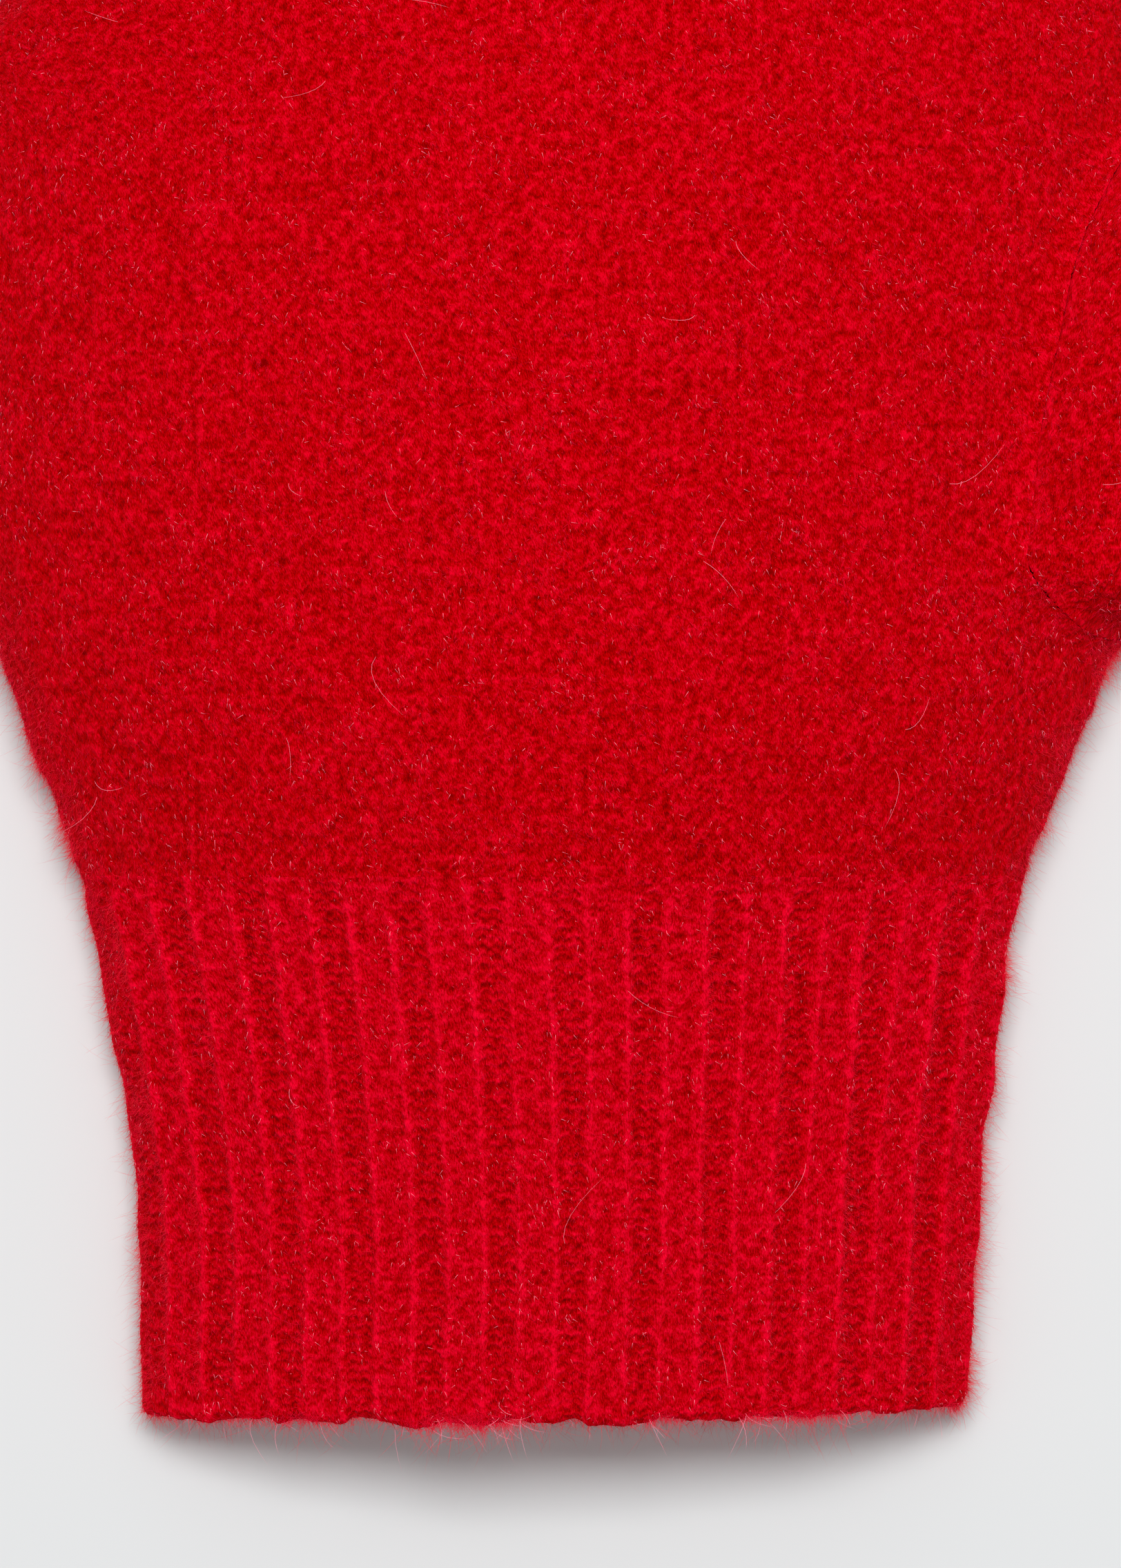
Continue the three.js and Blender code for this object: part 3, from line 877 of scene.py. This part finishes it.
def knit_material(name, colours, wale_width, ribbed, stitch_share, painted_relief_shade):
    """Wool: a colour ramp over the relief, stitches, tufts and streaks, and their bump. In the
    colour the relief is painted shade in the hollows and painted light on the raised knit.
    """
    mat = bpy.data.materials.new(name)
    mat.use_nodes = True
    tree = mat.node_tree
    link = tree.links.new
    shader = tree.nodes["Principled BSDF"]
    shader.inputs["Roughness"].default_value = 0.9
    shader.inputs["Specular IOR Level"].default_value = 0.0
    shader.inputs["Sheen Weight"].default_value = 0.6
    shader.inputs["Sheen Roughness"].default_value = 0.35
    shader.inputs["Sheen Tint"].default_value = (1.0, 0.03, 0.05, 1)

    def math_node(operation, first, second=None, third=None, use_clamp=False):
        made = node(tree, "Math", operation=operation, use_clamp=use_clamp)
        for socket, value in zip(made.inputs, (first, second, third)):
            if isinstance(value, bpy.types.NodeSocket):
                link(value, socket)
            elif value is not None:
                socket.default_value = value
        return made.outputs[0]

    stitches = node(tree, "UVMap", uv_map="stitch")
    fabric = node(tree, "Mapping", in_Scale=(wale_width, COURSE, 1.0))
    link(stitches.outputs["UV"], fabric.inputs["Vector"])
    lying = node(tree, "Mapping", vector_type="TEXTURE", in_Scale=(0.30, 1.0, 1.0))
    lying.inputs["Rotation"].default_value = (0, 0, math.radians(7 if ribbed else 17))
    link(fabric.outputs["Vector"], lying.inputs["Vector"])
    streaks = node(tree, "TexNoise", in_Scale=2.6, in_Detail=3.0, in_Roughness=0.65)
    link(lying.outputs["Vector"], streaks.inputs["Vector"])
    tufts = node(tree, "TexNoise", in_Scale=1.15, in_Detail=2.0, in_Roughness=0.5)
    link(fabric.outputs["Vector"], tufts.inputs["Vector"])

    apart = node(tree, "SeparateXYZ")
    link(stitches.outputs["UV"], apart.inputs[0])
    wale, course = apart.outputs["X"], apart.outputs["Y"]
    turn = 2 * math.pi
    across = math_node("MULTIPLY_ADD", math_node("FRACT", wale), 2.0, -1.0)
    leg = math_node("ABSOLUTE", across)
    vee = math_node("MULTIPLY_ADD", leg, -0.8 * turn, math_node("MULTIPLY", course, turn))
    loop = math_node("COSINE", vee)
    if ribbed:
        at = math_node("FLOORED_MODULO", wale, REPEAT)
        sway = math_node("COSINE", math_node("MULTIPLY", wale, turn))
        row = math_node("MULTIPLY_ADD", sway, 1.3, math_node("MULTIPLY", course, turn))
        purl = math_node("MULTIPLY", math_node("COSINE", row), 2.4)
        sunk = math_node("GREATER_THAN", at, KNIT_WALES)
        loop = math_node("MULTIPLY_ADD", math_node("SUBTRACT", purl, loop), sunk, loop)

    relief = node(tree, "Attribute", attribute_name="relief")
    # painted shade and light: the relief darkens the colour in the hollows and lightens it on the
    # raised knit
    total = math_node("MULTIPLY_ADD", relief.outputs["Fac"], painted_relief_shade, -0.98)
    total = math_node("MULTIPLY_ADD", streaks.outputs["Fac"], 1.8, total)
    total = math_node("MULTIPLY_ADD", tufts.outputs["Fac"], 1.2, total)
    total = math_node("MULTIPLY_ADD", loop, stitch_share, total)
    if ribbed:
        # a painted highlight along the ridges, fading out where the ribs end
        off = [math_node("ABSOLUTE", math_node("SUBTRACT", at, ridge)) for ridge in RIDGES]
        line = math_node("MULTIPLY_ADD", math_node("MINIMUM", *off), -4.0, 1.0, use_clamp=True)
        below_top = math_node("MULTIPLY_ADD", course, -0.2, 0.2 * WRIST / COURSE, use_clamp=True)
        total = math_node("MULTIPLY_ADD", math_node("MULTIPLY", line, below_top), 0.075, total)
    ramp = node(tree, "ValToRGB")
    link(total, ramp.inputs["Fac"])
    stops = ramp.color_ramp.elements
    stops[0].position, stops[1].position = 0.12, 0.95
    stops[0].color, stops[1].color = (*colours[0], 1), (*colours[2], 1)
    stops.new(0.5).color = (*colours[1], 1)
    link(ramp.outputs["Color"], shader.inputs["Base Color"])

    fine = node(tree, "Bump", in_Strength=1.0, in_Distance=0.00010)
    link(streaks.outputs["Fac"], fine.inputs["Height"])
    coarse = node(tree, "Bump", in_Strength=1.0, in_Distance=0.00025)
    link(tufts.outputs["Fac"], coarse.inputs["Height"])
    link(fine.outputs["Normal"], coarse.inputs["Normal"])
    looped = node(tree, "Bump", in_Strength=1.0, in_Distance=0.00002)
    link(loop, looped.inputs["Height"])
    link(coarse.outputs["Normal"], looped.inputs["Normal"])
    link(looped.outputs["Normal"], shader.inputs["Normal"])
    return mat


def plain_material(name, colour, roughness, painted_glow=0.0):
    """One colour; glow is painted light: the material gives off light in its own colour, in place
    of a fibre's glints and the light through it.
    """
    mat = bpy.data.materials.new(name)
    mat.use_nodes = True
    shader = mat.node_tree.nodes["Principled BSDF"]
    shader.inputs["Base Color"].default_value = (*colour, 1)
    shader.inputs["Roughness"].default_value = roughness
    shader.inputs["Specular IOR Level"].default_value = 0.0
    shader.inputs["Emission Color"].default_value = (*colour, 1)
    # painted light: the fibre glows in its own colour
    shader.inputs["Emission Strength"].default_value = painted_glow
    return mat


knit = knit_material(
    "brushed_knit", ((0.23, 0.0, 0.0), (0.53, 0.0, 0.001), (0.95, 0.001, 0.022)), WALE,
    ribbed=False, stitch_share=0.02, painted_relief_shade=0.5,
)
rib = knit_material(
    "ribbed_knit", ((0.24, 0.0, 0.0), (0.56, 0.0, 0.003), (0.97, 0.002, 0.030)), RIB_WALE,
    ribbed=True, stitch_share=0.012, painted_relief_shade=0.48,
)
# the fibres' tones; the glow of the bright, flank and pale fibres is painted light, and the pale
# fibres are painted glints
fibres = (
    plain_material("red_fibre", (0.55, 0.0, 0.002), 0.8),
    plain_material("bright_glow_fibre", (1.0, 0.010, 0.055), 0.7, 0.06),
    plain_material("flank_glow_fibre", (1.0, 0.02, 0.045), 0.7, 0.14),
    plain_material("painted_glint_fibre", (1.0, 0.30, 0.42), 0.5, 0.6),
)


# ---- Pieces ----

def row_point(x, y, sign):
    """A point on the floor, from a glove's own millimetres to the shared frame."""
    return tuple(place(np.array([x, y, 0.0]), sign))


def dress(cloth, name, side, sign, material, slot, nodes, a, b, start, end, seed, flank=1.0):
    """Adds a cloth and its loose fibres as pieces; a and b, the bodies of a bend, are not used.

    flank is the share of the fibres standing off the flanks.
    """
    piece = cloth.mesh(f"{side}_{name}", sign)
    piece.data.materials.append(material)
    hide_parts(*nodes)
    ribbed = material is rib
    fuzz = Fuzz(cloth, seed)
    grow_nap(fuzz, ribbed, flank)
    if ribbed:
        grow_wisps(fuzz)
    hairs = fuzz.mesh(f"{side}_{name}_fuzz", sign)
    for tone in fibres:
        hairs.data.materials.append(tone)
    for made in (piece, hairs):
        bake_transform(made)


def add_sleeve(side, sign):
    cuff_end = sleeve["cuff_end"]
    wrist = row_point(0, WRIST + WRIST_BEND, sign), row_point(0, WRIST - WRIST_BEND, sign)
    dress(
        span(sleeve, 0, cuff_end), "ribbed_cuff", side, sign, rib, "red_rib",
        [f"{side}_rib_cuff", f"{side}_cuff_edge"], "hand", "cuff", *wrist, 1,
    )
    dress(
        span(sleeve, cuff_end - 1, None, wales="hand_wale"), "knit_hand", side, sign, knit,
        "red_knit", [f"{side}_hand"], "hand", "cuff", *wrist, 2,
    )


def add_digit(name, part, side, sign, seed):
    """A digit in two pieces, which share the row of points half-way between its joints."""
    if name == "thumb":
        root, splay = THUMB_ORIGIN, THUMB_SPLAY
        knuckle, middle, start = THUMB_JOINTS
    else:
        root, (_, splay, _, length) = finger_root(name), FINGERS[name]
        knuckle, middle, start = FINGER_KNUCKLE, FINGER_MIDDLE * length, FINGER_START
    along, _ = axes_of(splay)
    split = int(np.searchsorted(part["t"], (knuckle + middle) / 2))

    def at(t):
        return row_point(root[0] + along[0] * t, root[1] + along[1] * t, sign)

    def half(end, cloth, a, b, bend, half_seed):
        dress(
            cloth, f"{name}_{end}_knit", side, sign, knit, "red_knit",
            [f"{side}_{name}_{end}"], a, b, *bend, half_seed, flank=DIGIT_FLANK,
        )

    base_bend = at(start), at(knuckle + DIGIT_BEND)
    tip_bend = at(middle - DIGIT_BEND), at(middle + DIGIT_BEND)
    half("base", span(part, 0, split + 1), "hand", f"{name}_base", base_bend, seed)
    tip = span(part, split, None, closed_end=True)
    half("tip", tip, f"{name}_base", f"{name}_tip", tip_bend, seed + 1)


for side, sign in (("right", 1), ("left", -1)):
    add_sleeve(side, sign)
    for order, (name, part) in enumerate(digits.items()):
        add_digit(name, part, side, sign, 10 + 2 * order)


# ---- Floor, light and camera ----

bpy.ops.mesh.primitive_plane_add(size=3.0, location=(0, 0, -0.0001))
floor = bpy.context.object
floor.name = "floor"
floor.data.materials.append(plain_material("floor", (0.79, 0.805, 0.81), 0.9))


def area_light(name, location, target, size, energy):
    """A rectangular light at a location, facing a target."""
    data = bpy.data.lights.new(name, "AREA")
    data.shape = "RECTANGLE"
    data.size, data.size_y = size
    data.energy = energy
    lamp = bpy.data.objects.new(name, data)
    lamp.location = location
    lamp.rotation_euler = (Vector(target) - Vector(location)).to_track_quat("-Z", "Y").to_euler()
    bpy.context.scene.collection.objects.link(lamp)


VIEW_X, VIEW_Y = CENTRE_X * MM, (EDGE_Y + 56.6) * MM  # the middle of the photo's frame
area_light("key", (VIEW_X + 0.02, VIEW_Y + 0.36, 0.90), (VIEW_X, VIEW_Y, 0), (0.7, 0.38), 7.3)

world = bpy.data.worlds.new("world")
bpy.context.scene.world = world
world.use_nodes = True
world.node_tree.nodes["Background"].inputs["Color"].default_value = (1, 1, 1, 1)
world.node_tree.nodes["Background"].inputs["Strength"].default_value = 0.40
bpy.context.scene.view_settings.view_transform = "Standard"

# the photo's frame is 140 mm tall where the sides of the glove are, 6 mm above the floor
CAMERA_HEIGHT, FRAME_HEIGHT, FRAME_LEVEL = 0.80, 0.140, 0.006
SENSOR = 36.0
camera_data = bpy.data.cameras.new("camera")
camera_data.sensor_fit = "VERTICAL"
camera_data.sensor_height = SENSOR
camera_data.lens = SENSOR * (CAMERA_HEIGHT - FRAME_LEVEL) / FRAME_HEIGHT
camera = bpy.data.objects.new("camera", camera_data)
camera.location = (VIEW_X, VIEW_Y, CAMERA_HEIGHT)
bpy.context.scene.collection.objects.link(camera)
bpy.context.scene.camera = camera
